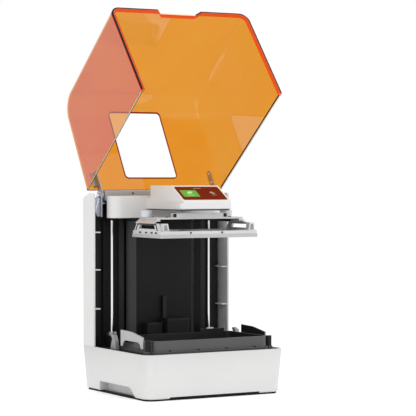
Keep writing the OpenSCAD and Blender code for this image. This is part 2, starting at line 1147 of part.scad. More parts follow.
module vat_handles() {
  outer = vat_w / 2 + 12;
  color([0.7, 0.71, 0.72])
    both() {
      difference() {
        side_plate(outer - 3, outer)
          polygon([[-92, 98], [-92, 121], [-45, 128.5], [2, 130], [2, 98]]);
        side_plate(outer - 4, outer + 1)
          polygon([[-84, 97], [-80, 106], [-72, 110], [-18, 110], [-10, 106], [-6, 97]]);
      }
      block([vat_w / 2, -90, 110.5], [outer - 3, 0, 113]);
    }
}

module vat_screws() {
  color([0.1, 0.1, 0.1]) {
    for (x = [-96, -32, 32, 96])
      socket_screw(x, vat_front - 2.6, vat_z + 3, 2.3);
    for (x = [-96, -32, 32, 96])
      socket_screw(x, vat_back + 2.6, vat_z + 3, 2.3);
  }
}

// Captive thumb screw of the vat
module vat_knob(s) {
  low = vat_z + 3.3;
  color(black)
    translate([s * thumb_x, thumb_y, 0]) {
      difference() {
        post(0, 0, low, low + 20, 6);
        for (a = [0 : 30 : 330])
          rotate([0, 0, a])
            post(6.2, 0, low + 5, low + 21, 0.8);
      }
      post(0, 0, deck_top + 0.1, low, 3.1);
    }
}

module vat_knob_left() {
  vat_knob(-1);
}

module vat_knob_right() {
  vat_knob(1);
}

base_shell();
bottom_plate();
foot_ring();
top_deck();
screen_frame();
lcd_panel();
light_housing();
lens_array();
led_board();
heat_sink();
led_fan_frame();
led_fan_rotor();
mainboard();
power_supply();
power_inlet();
power_rocker();
usb_port();
wing_left();
wing_right();
rear_cover();
back_panel();
column_liners();
tower_cover();
rod_feet();
guide_rods();
top_plate();
screw_bearing();
stepper_motor();
lead_screw();
coupler();
exhaust_fan_frame();
exhaust_fan_rotor();
beam_cover();
top_cap();
hinge_bar();
hinge_brackets();
hinge_pins();
console_body();
screen_glass();
display_panel();
feed_module();
vat_guides();
hood_shell();
hood_rim();
hood_arms();
carriage_beam();
rod_bushings();
lead_nut();
carriage_arms();
build_plate();
plate_cradle();
clamp_knob_left();
clamp_knob_right();
vat_body();
vat_film();
film_frame();
vat_handles();
vat_screws();
vat_knob_left();
vat_knob_right();
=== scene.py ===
import json
import math

import bmesh
import bpy
from mathutils import Matrix, Vector

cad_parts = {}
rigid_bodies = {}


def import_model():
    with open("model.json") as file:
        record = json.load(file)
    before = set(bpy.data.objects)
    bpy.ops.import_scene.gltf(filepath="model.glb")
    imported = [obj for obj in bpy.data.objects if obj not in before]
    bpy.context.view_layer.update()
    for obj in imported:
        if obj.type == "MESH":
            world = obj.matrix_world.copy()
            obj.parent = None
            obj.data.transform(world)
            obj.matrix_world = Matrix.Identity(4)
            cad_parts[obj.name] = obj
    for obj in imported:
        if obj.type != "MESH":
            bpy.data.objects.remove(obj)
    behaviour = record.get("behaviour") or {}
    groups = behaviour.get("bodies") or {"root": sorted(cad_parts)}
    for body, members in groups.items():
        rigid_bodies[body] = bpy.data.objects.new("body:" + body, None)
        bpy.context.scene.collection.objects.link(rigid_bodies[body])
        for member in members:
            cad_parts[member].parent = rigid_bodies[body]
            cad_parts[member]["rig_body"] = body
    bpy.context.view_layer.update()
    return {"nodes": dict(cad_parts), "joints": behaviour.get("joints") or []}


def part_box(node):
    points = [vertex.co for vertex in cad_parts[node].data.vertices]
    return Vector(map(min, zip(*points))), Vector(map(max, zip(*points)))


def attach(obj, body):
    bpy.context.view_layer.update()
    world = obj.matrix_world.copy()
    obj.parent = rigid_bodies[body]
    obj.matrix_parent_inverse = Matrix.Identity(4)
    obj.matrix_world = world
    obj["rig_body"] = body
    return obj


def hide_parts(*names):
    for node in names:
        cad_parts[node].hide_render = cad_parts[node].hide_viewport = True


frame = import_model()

MM = 0.001
NODES = frame["nodes"]
HINGE = next(j for j in frame["joints"] if j["name"] == "hood_hinge")
PIVOT = Vector(HINGE["pos_m"])
HOOD_ANGLE = math.radians(min(HINGE["range_deg"]))
OPEN = Matrix.Translation(PIVOT) @ Matrix.Rotation(HOOD_ANGLE, 4, "X") @ Matrix.Translation(-PIVOT)
SIDES = ((-1, "left"), (1, "right"))


# ---------------------------------------------------------------- materials

# Noise scales, in patches to the metre
PATCH_SCALE = 14.0
WEAR_SCALE = 45.0
CLOUD_SCALE = 9.0
SMEAR_SCALE = 60.0
# The part of a noise's range that holds nearly all of its values
NOISE_LOW = 0.3
NOISE_HIGH = 0.7
RELIEF_SHARE = 0.25
COAT_ROUGHNESS = 0.08
SHEET_IOR = 1.55


def new_material(name):
    """A material with its nodes, its links and its main shader."""
    material = bpy.data.materials.new(name)
    material.use_nodes = True
    nodes = material.node_tree.nodes
    return material, nodes, material.node_tree.links, nodes["Principled BSDF"]


def noise(nodes, links, scale, detail=3.0, stretch=(1, 1, 1)):
    """Noise in the object's own coordinates, stretched along the axes."""
    place = nodes.new("ShaderNodeTexCoord")
    mapping = nodes.new("ShaderNodeMapping")
    mapping.inputs["Scale"].default_value = stretch
    texture = nodes.new("ShaderNodeTexNoise")
    texture.inputs["Scale"].default_value = scale
    texture.inputs["Detail"].default_value = detail
    links.new(place.outputs["Object"], mapping.inputs["Vector"])
    links.new(mapping.outputs["Vector"], texture.inputs["Vector"])
    return texture.outputs["Fac"]


def ramp(nodes, links, source, low, high):
    """Spreads a noise value between two numbers."""
    spread = nodes.new("ShaderNodeMapRange")
    spread.inputs["From Min"].default_value = NOISE_LOW
    spread.inputs["From Max"].default_value = NOISE_HIGH
    spread.inputs["To Min"].default_value = low
    spread.inputs["To Max"].default_value = high
    links.new(source, spread.inputs["Value"])
    return spread.outputs["Result"]


def tint(nodes, links, source, first, second):
    """Colour between two colours, by a noise value."""
    blend = nodes.new("ShaderNodeMix")
    blend.data_type = "RGBA"
    blend.inputs["A"].default_value = (*first, 1)
    blend.inputs["B"].default_value = (*second, 1)
    links.new(ramp(nodes, links, source, 0.0, 1.0), blend.inputs["Factor"])
    return blend.outputs["Result"]


def surface(name, colour, roughness, metallic=0.0, coat=0.0, mottle=0.04, grain=0.5,
            bump=0.12, spread=0.05, stretch=(1, 1, 1), specular=0.5):
    """Moulded, painted, cast or machined surface; grain is the texture's size in mm."""
    material, nodes, links, shader = new_material(name)
    patches = noise(nodes, links, PATCH_SCALE, 4.0)
    fine = noise(nodes, links, 1.0 / (grain * MM), 2.0, stretch)
    dark = [c * (1 - mottle) for c in colour]
    light = [min(1.0, c * (1 + mottle)) for c in colour]
    links.new(tint(nodes, links, patches, dark, light), shader.inputs["Base Color"])
    wear = noise(nodes, links, WEAR_SCALE, 5.0, stretch)
    links.new(ramp(nodes, links, wear, roughness - spread, roughness + spread),
              shader.inputs["Roughness"])
    relief = nodes.new("ShaderNodeBump")
    relief.inputs["Strength"].default_value = bump
    relief.inputs["Distance"].default_value = grain * MM * RELIEF_SHARE
    links.new(fine, relief.inputs["Height"])
    links.new(relief.outputs["Normal"], shader.inputs["Normal"])
    shader.inputs["Metallic"].default_value = metallic
    shader.inputs["Coat Weight"].default_value = coat
    shader.inputs["Coat Roughness"].default_value = COAT_ROUGHNESS
    shader.inputs["Specular IOR Level"].default_value = specular
    return material


def clear_sheet(name, colour, gloss=0.03, haze=0.0, haze_colour=(1, 1, 1)):
    """One face of a clear tinted sheet: light passes, tinted, and the front mirrors a little."""
    material, nodes, links, shader = new_material(name)
    nodes.remove(shader)
    through = nodes.new("ShaderNodeBsdfTransparent")
    cloudy = noise(nodes, links, CLOUD_SCALE)
    deeper = [c ** 1.07 for c in colour]
    links.new(tint(nodes, links, cloudy, colour, deeper), through.inputs["Color"])
    mirror = nodes.new("ShaderNodeBsdfGlossy")
    links.new(ramp(nodes, links, noise(nodes, links, SMEAR_SCALE), gloss * 0.7, gloss * 1.3),
              mirror.inputs["Roughness"])
    film = nodes.new("ShaderNodeBsdfDiffuse")
    film.inputs["Color"].default_value = (*haze_colour, 1)
    veil = nodes.new("ShaderNodeMixShader")
    veil.inputs["Fac"].default_value = haze
    fresnel = nodes.new("ShaderNodeFresnel")
    fresnel.inputs["IOR"].default_value = SHEET_IOR
    geometry = nodes.new("ShaderNodeNewGeometry")
    front = nodes.new("ShaderNodeMath")
    front.operation = "SUBTRACT"
    front.inputs[0].default_value = 1.0
    links.new(geometry.outputs["Backfacing"], front.inputs[1])
    mirrored = nodes.new("ShaderNodeMath")
    mirrored.operation = "MULTIPLY"
    links.new(fresnel.outputs["Fac"], mirrored.inputs[0])
    links.new(front.outputs["Value"], mirrored.inputs[1])
    mix = nodes.new("ShaderNodeMixShader")
    links.new(through.outputs["BSDF"], veil.inputs[1])
    links.new(film.outputs["BSDF"], veil.inputs[2])
    links.new(mirrored.outputs["Value"], mix.inputs["Fac"])
    links.new(veil.outputs["Shader"], mix.inputs[1])
    links.new(mirror.outputs["BSDF"], mix.inputs[2])
    links.new(mix.outputs["Shader"], nodes["Material Output"].inputs["Surface"])
    return material


def glowing(name, colour, strength):
    """A lit part of the screen."""
    material = surface(name, colour, 0.3, grain=0.25, bump=0.02, specular=0.2)
    shader = material.node_tree.nodes["Principled BSDF"]
    shader.inputs["Emission Color"].default_value = (*colour, 1)
    shader.inputs["Emission Strength"].default_value = strength
    return material


WHITE = surface("white_plastic", (0.625, 0.625, 0.622), 0.42, grain=0.45, mottle=0.015)
BLACK_PLASTIC = surface("black_plastic", (0.006, 0.006, 0.0065), 0.45, grain=0.5, mottle=0.2,
                        specular=0.3)
BLACK_STEEL = surface("black_steel", (0.007, 0.007, 0.0075), 0.5, grain=0.7, bump=0.25,
                      mottle=0.15, specular=0.22)
TOWER = surface("tower_coat", (0.006, 0.006, 0.0063), 0.45, grain=0.7, bump=0.2, mottle=0.12,
                specular=0.16)
# Lighter copy of tower_coat for the tower's slanting sides: painted sheen where light falls on them
TOWER_SIDE_SHEEN = surface("tower_side_painted_sheen", (0.022, 0.022, 0.0225), 0.40, grain=0.7, bump=0.2,
                     mottle=0.12, specular=0.35)
# The top cap's grey is painted shade from the hood above it; the hinge bar takes the same grey
GREY_PLASTIC = surface("grey_plastic", (0.33, 0.33, 0.34), 0.45, grain=0.5)
DARK_CAST = surface("dark_cast", (0.26, 0.262, 0.266), 0.45, metallic=0.5, grain=0.4, bump=0.18,
                    mottle=0.06)
RUBBER = surface("rubber", (0.008, 0.008, 0.008), 0.85, grain=0.8, bump=0.3, mottle=0.2,
                 specular=0.2)
STEEL = surface("bright_steel", (0.80, 0.81, 0.83), 0.16, metallic=1.0, grain=0.3,
                bump=0.05, stretch=(1, 1, 0.04))
HINGE_METAL = surface("hinge_metal", (0.42, 0.45, 0.53), 0.30, metallic=1.0, grain=0.35,
                      bump=0.08, stretch=(1, 0.1, 1))
ALUMINIUM = surface("aluminium", (0.72, 0.73, 0.74), 0.38, metallic=1.0, grain=0.22,
                    bump=0.10)
CAST = surface("cast_light", (0.58, 0.585, 0.59), 0.42, metallic=0.55, grain=0.4, bump=0.18,
               mottle=0.06)
# Darker copy of cast_light for the vat's handles: painted shade
SHADED_HANDLE = surface("handle_cast_painted_shade", (0.42, 0.423, 0.428), 0.42, metallic=0.5, grain=0.4, bump=0.18,
                 mottle=0.06)
PLATE = surface("blasted_plate", (0.47, 0.475, 0.48), 0.46, metallic=0.75, grain=0.3,
                bump=0.3, mottle=0.05)
BRONZE = surface("bronze", (0.55, 0.34, 0.14), 0.32, metallic=1.0, grain=0.4)
VAT = surface("vat_metal", (0.078, 0.078, 0.081), 0.38, metallic=0.35, grain=0.35, bump=0.15)
# Darker copy of vat_metal for the vat's inner walls: painted shade inside the vat
VAT_INSIDE_SHADE = surface("vat_inside_painted_shade", (0.018, 0.018, 0.019), 0.34, metallic=0.2, grain=0.35,
                     bump=0.15, specular=0.3)
PANEL_GLASS = surface("panel_glass", (0.006, 0.006, 0.010), 0.06, coat=1.0, grain=2.0,
                      bump=0.01, spread=0.02)
CIRCUIT = surface("circuit", (0.010, 0.085, 0.035), 0.4, grain=1.2, bump=0.4, mottle=0.35)
PALE_BOARD = surface("pale_board", (0.78, 0.78, 0.72), 0.45, grain=0.8)
LENS = clear_sheet("lens", (0.86, 0.93, 0.95), 0.05)
FILM = clear_sheet("film", (0.86, 0.89, 0.91), 0.08)
RIM = surface("rim_orange", (0.74, 0.078, 0.006), 0.38, grain=0.6, bump=0.04, specular=0.2)
SCREEN = surface("screen_red", (0.125, 0.006, 0.003), 0.3, grain=1.5, bump=0.01,
                 mottle=0.08, specular=0.1)
SCREEN_GREEN = glowing("screen_green", (0.08, 0.32, 0.045), 0.12)
SCREEN_PALE = glowing("screen_pale", (0.30, 0.62, 0.24), 0.12)
SCREEN_GREY = glowing("screen_grey", (0.34, 0.25, 0.24), 0.1)
SHEET_OUT = clear_sheet("hood_outside", (0.89, 0.59, 0.215), haze=0.09,
                        haze_colour=(1.0, 0.47, 0.45))
SHEET_IN = clear_sheet("hood_inside", (0.89, 0.59, 0.215))
# Deeper orange for the hood's top panels: painted shade for the longer path of light through the
# sheet where it is seen at a slant
TOP_OUT_SHADE = clear_sheet("hood_top_outside_painted_shade", (0.89, 0.55, 0.16))
TOP_IN_SHADE = clear_sheet("hood_top_inside_painted_shade", (0.89, 0.55, 0.16))
EDGE_RED = surface("edge_dark_red", (0.23, 0.003, 0.001), 0.6, grain=0.5, specular=0.05)
EDGE_DARK = surface("edge_dark", (0.012, 0.009, 0.007), 0.6, grain=0.5, specular=0.08)
# Cream for the sheet's cut edges and the raised notch's lip: painted highlight of light caught in the
# edges
EDGE_HIGHLIGHT = surface("edge_painted_highlight", (0.66, 0.55, 0.40), 0.35, grain=0.5, specular=0.3)


# ---------------------------------------------------------------- mesh helpers

def make(name, verts, faces, materials, slots=None, smooth=35.0, closed=True):
    """Mesh object from points in metres, with one material number per face."""
    mesh = bpy.data.meshes.new(name)
    mesh.from_pydata([tuple(v) for v in verts], [], faces)
    for material in materials:
        mesh.materials.append(material)
    if slots:
        for face, number in zip(mesh.polygons, slots):
            face.material_index = number
    mesh.update()
    if closed:
        face_outwards(mesh)
    finish_shading(mesh, smooth)
    obj = bpy.data.objects.new(name, mesh)
    bpy.context.scene.collection.objects.link(obj)
    return obj


def face_outwards(mesh):
    """Turns the faces of a closed mesh outwards."""
    bm = bmesh.new()
    bm.from_mesh(mesh)
    bmesh.ops.recalc_face_normals(bm, faces=bm.faces)
    bm.to_mesh(mesh)
    bm.free()


def finish_shading(mesh, smooth):
    """Smooth shading, sharp where faces meet at more than that angle in degrees."""
    mesh.shade_smooth()
    mesh.set_sharp_from_angle(angle=math.radians(smooth))


def settle(obj, body):
    """Ties a piece to its body."""
    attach(obj, body)
    return obj


def apply_modifiers(obj):
    """Turns an object's modifiers into its mesh."""
    shown = obj.evaluated_get(bpy.context.evaluated_depsgraph_get())
    mesh = bpy.data.meshes.new_from_object(shown)
    obj.modifiers.clear()
    obj.data = mesh


# Nodes whose grilles keep their flats as they come
GRILLED = ("rear_cover", "bottom_plate")
SAME_POINT = 2e-6
FLAT_ANGLE = math.radians(0.4)
BEVEL_ANGLE = math.radians(32)
BEVEL_SEGMENTS = 2


def soften(node, width, material):
    """Copy of a CAD node with merged flats and rounded edges, which stands for the node."""
    source = NODES[node]
    bm = bmesh.new()
    bm.from_mesh(source.data)
    bmesh.ops.remove_doubles(bm, verts=bm.verts, dist=SAME_POINT)
    if node not in GRILLED:
        bmesh.ops.dissolve_limit(bm, angle_limit=FLAT_ANGLE, verts=bm.verts, edges=bm.edges)
    mesh = bpy.data.meshes.new(node + "_look")
    bm.to_mesh(mesh)
    bm.free()
    if "custom_normal" in mesh.attributes:
        mesh.attributes.remove(mesh.attributes["custom_normal"])
    mesh.materials.clear()
    mesh.materials.append(material)
    for face in mesh.polygons:
        face.material_index = 0
    mesh.shade_smooth()
    obj = bpy.data.objects.new(node + "_look", mesh)
    bpy.context.scene.collection.objects.link(obj)
    bevel = obj.modifiers.new("edges", "BEVEL")
    bevel.width = width * MM
    bevel.segments = BEVEL_SEGMENTS
    bevel.limit_method = "ANGLE"
    bevel.angle_limit = BEVEL_ANGLE
    bevel.harden_normals = True
    bevel.use_clamp_overlap = True
    apply_modifiers(obj)
    settle(obj, source["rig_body"])
    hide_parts(node)
    return obj


def repaint(node, material):
    """A CAD node that stays as it is, with a better material."""
    obj = NODES[node]
    obj.data.materials.clear()
    obj.data.materials.append(material)


CORNER_STEPS = 6
CHAMFER_SPREAD = 1.2


def rounded_outline(corners):
    """Outline through corners (x, y, radius), each corner rounded."""
    points = []
    count = len(corners)
    for i, (x, y, radius) in enumerate(corners):
        corner = Vector((x, y))
        before = (Vector(corners[i - 1][:2]) - corner).normalized()
        after = (Vector(corners[(i + 1) % count][:2]) - corner).normalized()
        half = before.angle(after) / 2
        reach = radius / math.tan(half)
        start, end = corner + before * reach, corner + after * reach
        centre = corner + (before + after).normalized() * (radius / math.sin(half))
        first, last = start - centre, end - centre
        turn = first.angle_signed(last)
        for k in range(CORNER_STEPS + 1):
            points.append(centre + Matrix.Rotation(-turn * k / CORNER_STEPS, 2) @ first)
    return points


def rectangle(x0, y0, x1, y1, radius):
    """Corners for rounded_outline."""
    return [(x0, y0, radius), (x1, y0, radius), (x1, y1, radius), (x0, y1, radius)]


def prism(name, outline, z0, z1, materials, chamfer=0.0, place=Matrix.Identity(4)):
    """Plate from an outline in mm, between z0 and z1, its top edge chamfered."""
    count = len(outline)
    centre = sum(outline, Vector((0, 0))) / count
    rings = [(z0, 0.0), (z1 - chamfer, 0.0)]
    if chamfer:
        rings.append((z1, chamfer))
    verts = []
    for z, inset in rings:
        for p in outline:
            inner = p - (p - centre).normalized() * inset * CHAMFER_SPREAD
            verts.append(place @ (Vector((inner.x, inner.y, z)) * MM))
    faces = []
    for r in range(len(rings) - 1):
        for i in range(count):
            j = (i + 1) % count
            faces.append((r * count + i, r * count + j, (r + 1) * count + j, (r + 1) * count + i))
    faces.append(tuple(reversed(range(count))))
    faces.append(tuple(range((len(rings) - 1) * count, len(rings) * count)))
    return make(name, verts, faces, materials)


def turned(name, profile, place, material, sides, shape=None):
    """Turned piece: profile of (radius, height) in mm; shape(ring, angle) scales the radius."""
    verts = []
    for ring, (radius, height) in enumerate(profile):
        for k in range(sides):
            angle = 2 * math.pi * k / sides
            r = radius * (shape(ring, angle) if shape else 1.0)
            verts.append(place @ (Vector((r * math.cos(angle), r * math.sin(angle), height)) * MM))
    faces = []
    for ring in range(len(profile) - 1):
        for k in range(sides):
            n = (k + 1) % sides
            a, b = ring * sides, (ring + 1) * sides
            faces.append((a + k, a + n, b + n, b + k))
    faces.append(tuple(reversed(range(sides))))
    faces.append(tuple(range((len(profile) - 1) * sides, len(profile) * sides)))
    return make(name, verts, faces, [material])


def tube(name, points, radius, material, sides):
    """Round tube along points in metres."""
    verts = []
    faces = []
    count = len(points)
    side = None
    for i, point in enumerate(points):
        along = (points[min(i + 1, count - 1)] - points[max(i - 1, 0)]).normalized()
        if side is None:
            side = along.orthogonal().normalized()
        side = (side - along * side.dot(along)).normalized()
        other = along.cross(side)
        for k in range(sides):
            angle = 2 * math.pi * k / sides
            verts.append(point + (side * math.cos(angle) + other * math.sin(angle)) * radius)
    for i in range(count - 1):
        for k in range(sides):
            n = (k + 1) % sides
            faces.append((i * sides + k, i * sides + n, (i + 1) * sides + n, (i + 1) * sides + k))
    faces.append(tuple(reversed(range(sides))))
    faces.append(tuple(range((count - 1) * sides, count * sides)))
    return make(name, verts, faces, [material], smooth=60)


def at(x, y, z):
    """Place in mm, upright."""
    return Matrix.Translation(Vector((x, y, z)) * MM)


def facing(x, y, z, axis):
    """Place in mm whose height axis points along axis."""
    turn = Vector((0, 0, 1)).rotation_difference(Vector(axis)).to_matrix().to_4x4()
    return at(x, y, z) @ turn


SCREW_TALL = 1.2
SOCKET_RING = 4


def hexagon(ring, angle):
    """Turns the rings of a screw's socket, and no others, from round to six-sided."""
    if ring < SOCKET_RING:
        return 1.0
    return math.cos(math.pi / 6) / math.cos((angle + math.pi / 6) % (math.pi / 3) - math.pi / 6)


def screw_head(name, place, radius, material, body):
    """Cap screw with a hexagon socket."""
    height = SCREW_TALL
    profile = [
        (radius, 0), (radius, height * 0.75), (radius * 0.88, height), (radius * 0.62, height),
        (radius * 0.55, height), (radius * 0.55, height * 0.35)
    ]
    settle(turned(name, profile, place, material, 24, hexagon), body)


# ---------------------------------------------------------------- softened CAD pieces

SOFT = [
    # node, edge radius in mm, material, slot
    ("base_shell", 0.8, WHITE, "white_plastic"),
    ("bottom_plate", 0.3, BLACK_STEEL, "black_steel"),
    ("foot_ring", 0.8, RUBBER, "rubber"),
    ("top_deck", 0.4, BLACK_STEEL, "black_steel"),
    ("screen_frame", 0.3, BLACK_PLASTIC, "black_plastic"),
    ("lcd_panel", 0.2, PANEL_GLASS, "panel_glass"),
    ("wing_left", 1.1, WHITE, "white_plastic"),
    ("wing_right", 1.1, WHITE, "white_plastic"),
    ("rear_cover", 0.6, WHITE, "white_plastic"),
    ("back_panel", 0.4, BLACK_STEEL, "black_steel"),
    ("column_liners", 0.5, BLACK_STEEL, "black_steel"),
    ("tower_cover", 0.7, TOWER, "black_steel"),
    ("rod_feet", 0.8, ALUMINIUM, "aluminium"),
    ("guide_rods", 0.5, STEEL, "bright_steel"),
    ("top_plate", 0.4, BLACK_STEEL, "black_steel"),
    ("beam_cover", 1.2, WHITE, "white_plastic"),
    # The top cap's grey is painted shade under the hood
    ("top_cap", 0.5, GREY_PLASTIC, "grey_plastic"),
    ("hinge_bar", 1.0, GREY_PLASTIC, "grey_plastic"),
    ("hinge_brackets", 0.6, HINGE_METAL, "hinge_metal"),
    ("hinge_pins", 0.5, STEEL, "bright_steel"),
    ("console_body", 1.6, WHITE, "white_plastic"),
    ("feed_module", 1.2, BLACK_PLASTIC, "black_plastic"),
    ("vat_guides", 1.0, DARK_CAST, "cast_light"),
    ("hood_arms", 0.6, HINGE_METAL, "hinge_metal"),
    ("carriage_beam", 0.8, BLACK_STEEL, "black_steel"),
    ("rod_bushings", 0.4, BRONZE, "bronze"),
    ("carriage_arms", 0.7, BLACK_STEEL, "black_steel"),
    ("build_plate", 0.8, PLATE, "aluminium"),
    ("plate_cradle", 0.9, CAST, "cast_light"),
    ("vat_body", 0.9, VAT, "vat_metal"),
    ("film_frame", 0.3, VAT, "vat_metal"),
    ("vat_handles", 0.9, SHADED_HANDLE, "cast_light"),
    ("vat_screws", 0.2, BLACK_PLASTIC, "black_plastic"),
    ("power_inlet", 0.5, BLACK_PLASTIC, "black_plastic"),
    ("power_rocker", 0.5, BLACK_PLASTIC, "black_plastic"),
    ("usb_port", 0.3, STEEL, "bright_steel"),
    ("stepper_motor", 0.6, BLACK_STEEL, "black_steel"),
    ("coupler", 0.5, ALUMINIUM, "aluminium"),
    ("power_supply", 0.6, ALUMINIUM, "aluminium"),
    ("light_housing", 0.5, ALUMINIUM, "aluminium"),
    ("heat_sink", 0.2, ALUMINIUM, "aluminium"),
    ("led_fan_frame", 0.5, BLACK_PLASTIC, "black_plastic"),
    ("exhaust_fan_frame", 0.5, BLACK_PLASTIC, "black_plastic"),
    ("clamp_knob_left", 0.8, CAST, "cast_light"),
    ("clamp_knob_right", 0.8, CAST, "cast_light"),
    ("vat_knob_left", 0.2, BLACK_PLASTIC, "black_plastic"),
    ("vat_knob_right", 0.2, BLACK_PLASTIC, "black_plastic"),
]

KEPT = [
    ("lens_array", LENS, "lens"),
    ("led_board", PALE_BOARD, "pale_board"),
    ("mainboard", CIRCUIT, "circuit"),
    ("screw_bearing", STEEL, "bright_steel"),
    ("lead_nut", BRONZE, "bronze"),
    ("screen_glass", SCREEN, "screen_red"),
    ("display_panel", BLACK_PLASTIC, "black_plastic"),
    ("vat_film", FILM, "film"),
]


# ---------------------------------------------------------------- hood

# Sizes in mm of the closed hood
HOOD_WALL = 2.7
HOOD_EDGE = 20.0
HOOD_TOP_EDGE = 6.0
HOOD_BEND = 51.0
HOOD_FALL = math.radians(8.5)
WINDOW_HALF = 60.0
WINDOW_FRONT = -103.0
WINDOW_BACK = 53.0
WINDOW_EDGE = 7.0
WINDOW_LINE = 1.3
LINE_GAP = 0.05
CUT_LOW = 330
CUT_HIGH = 430
NOTCH_FOOT = 47.0
NOTCH_TOP = 38.0
NOTCH_RISE = 10.0
BEND_STEPS = 7
EDGE_STEPS = 8
EDGE_LINE = 0.5
HOOD_SMOOTH = 25
# Places in the sheet's list of materials. Its inner face takes the next one, its edge the one after
SIDE_SKIN = 0
TOP_SKIN = 3
TOP_ROWS = 4


def closed_box(node):
    """Corners in mm of a hood node when the hood is closed."""
    back = OPEN.inverted()
    points = [back @ v.co / MM for v in NODES[node].data.vertices]
    low = [min(p[i] for p in points) for i in range(3)]
    high = [max(p[i] for p in points) for i in range(3)]
    return low, high


_, SHELL_HIGH = closed_box("hood_shell")
RIM_LOW, _ = closed_box("hood_rim")
HOOD_HALF = SHELL_HIGH[0]
HOOD_FRONT = RIM_LOW[1]
HOOD_BACK = SHELL_HIGH[1]
HOOD_TOP = SHELL_HIGH[2]
RIM_TALL = 6.5
SHEET_LOW = RIM_LOW[2] + RIM_TALL


def hood_rows():
    """Side view of the sheet's edge centres: y, z, outward direction and edge radius."""
    bend_y = HOOD_FRONT + HOOD_BEND
    fall = math.tan(HOOD_FALL)
    bend_z = HOOD_TOP - (HOOD_BACK - bend_y) * fall - HOOD_BEND / math.cos(HOOD_FALL)
    rows = []
    for z in (SHEET_LOW, SHEET_LOW + 14, SHEET_LOW + 60, (SHEET_LOW + bend_z) / 2, bend_z - 40):
        rows.append((HOOD_FRONT + HOOD_EDGE, z, -1.0, 0.0, HOOD_EDGE))
    turn = math.pi / 2 - HOOD_FALL
    for k in range(BEND_STEPS + 1):
        share = k / BEND_STEPS
        edge = HOOD_EDGE + (HOOD_TOP_EDGE - HOOD_EDGE) * share
        out_y, out_z = -math.cos(turn * share), math.sin(turn * share)
        reach = HOOD_BEND - edge
        rows.append((bend_y + reach * out_y, bend_z + reach * out_z, out_y, out_z, edge))
    out_y, out_z = -math.sin(HOOD_FALL), math.cos(HOOD_FALL)
    inset = HOOD_TOP_EDGE / math.cos(HOOD_FALL)
    for y in (-40.0, 0.0, 40.0, HOOD_BACK):
        z = HOOD_TOP - (HOOD_BACK - y) * fall - inset
        rows.append((y, z, out_y, out_z, HOOD_TOP_EDGE))
    return rows


def hood_columns():
    """Front view of the sheet: x of each column, or the turn round a side edge."""
    middle = [-90, -NOTCH_FOOT, -NOTCH_TOP, 0, NOTCH_TOP, NOTCH_FOOT, 90]
    turns = [math.pi / 2 * k / EDGE_STEPS for k in range(EDGE_STEPS + 1)]
    left = [(0, -1, t) for t in reversed(turns)]
    right = [(0, 1, t) for t in turns]
    return left + [(x, 0, 0.0) for x in middle] + right


def hood_sheet():
    """The bent sheet as one skin, with its two flat sides."""
    rows, columns = hood_rows(), hood_columns()
    last = len(rows) - 1
    verts = []
    for i, (y, z, out_y, out_z, edge) in enumerate(rows):
        for x, side, turn in columns:
            reach = edge * math.cos(turn)
            px = x + side * (HOOD_HALF - edge + edge * math.sin(turn))
            py, pz = y + reach * out_y, z + reach * out_z
            if i == last:
                pz += (HOOD_BACK - py) * math.tan(HOOD_FALL)
                py = HOOD_BACK
            if i == 0 and abs(px) <= NOTCH_TOP:
                pz += NOTCH_RISE
            verts.append(Vector((px, py, pz)) * MM)
    width = len(columns)
    faces = []
    numbers = []
    for i in range(last):
        for j in range(width - 1):
            a = i * width + j
            faces.append((a, a + 1, a + width + 1, a + width))
            # The top rows take the deeper orange painted as shade
            numbers.append(TOP_SKIN if i >= last - TOP_ROWS else SIDE_SKIN)
    for column, turned_out in ((0, True), (width - 1, False)):
        corner = len(verts)
        verts.append(Vector((verts[column].x, HOOD_BACK * MM, SHEET_LOW * MM)))
        side = [i * width + column for i in range(len(rows))] + [corner]
        faces.append(tuple(side) if turned_out else tuple(reversed(side)))
        numbers.append(SIDE_SKIN)
    # The edge material paints a highlight on the sheet's cut edges
    skins = [SHEET_OUT, SHEET_IN, EDGE_HIGHLIGHT, TOP_OUT_SHADE, TOP_IN_SHADE, EDGE_HIGHLIGHT]
    return make("hood_sheet", verts, faces, skins, numbers, smooth=HOOD_SMOOTH, closed=False)


def window_boolean(sheet, operation, grow):
    """Cut the sheet with the opening that the console stands through, or keep only that part."""
    outline = rounded_outline(rectangle(-WINDOW_HALF - grow, WINDOW_FRONT - grow,
                                        WINDOW_HALF + grow, WINDOW_BACK + grow,
                                        WINDOW_EDGE + grow))
    cutter = prism("window_cutter", outline, CUT_LOW, CUT_HIGH, [EDGE_RED])
    cut = sheet.modifiers.new("window", "BOOLEAN")
    cut.operation = operation
    cut.object = cutter
    cut.solver = "EXACT"
    cut.material_mode = "TRANSFER"
    apply_modifiers(sheet)
    bpy.data.objects.remove(cutter)


def build_window_line(ring):
    """The dark red line of light round the opening, cut from the same sheet."""
    ring.name = "hood_window_line"
    window_boolean(ring, "INTERSECT", WINDOW_LINE - LINE_GAP)
    window_boolean(ring, "DIFFERENCE", 0)
    ring.data.materials.clear()
    ring.data.materials.append(EDGE_RED)
    for polygon in ring.data.polygons:
        polygon.material_index = 0
    finish_shading(ring.data, HOOD_SMOOTH)
    ring.data.transform(OPEN)
    settle(ring, "hood")


def line_back_edge(mesh):
    """Dark lines along both borders of the sheet's rear edge."""
    bm = bmesh.new()
    bm.from_mesh(mesh)
    rear = HOOD_BACK * MM
    edge = [f for f in bm.faces if abs(f.calc_center_median().y - rear) < 1e-5]
    border = bmesh.ops.inset_region(bm, faces=edge, thickness=EDGE_LINE * MM, depth=0)
    for face in border["faces"]:
        face.material_index = len(mesh.materials)
    bm.to_mesh(mesh)
    bm.free()
    mesh.materials.append(EDGE_DARK)


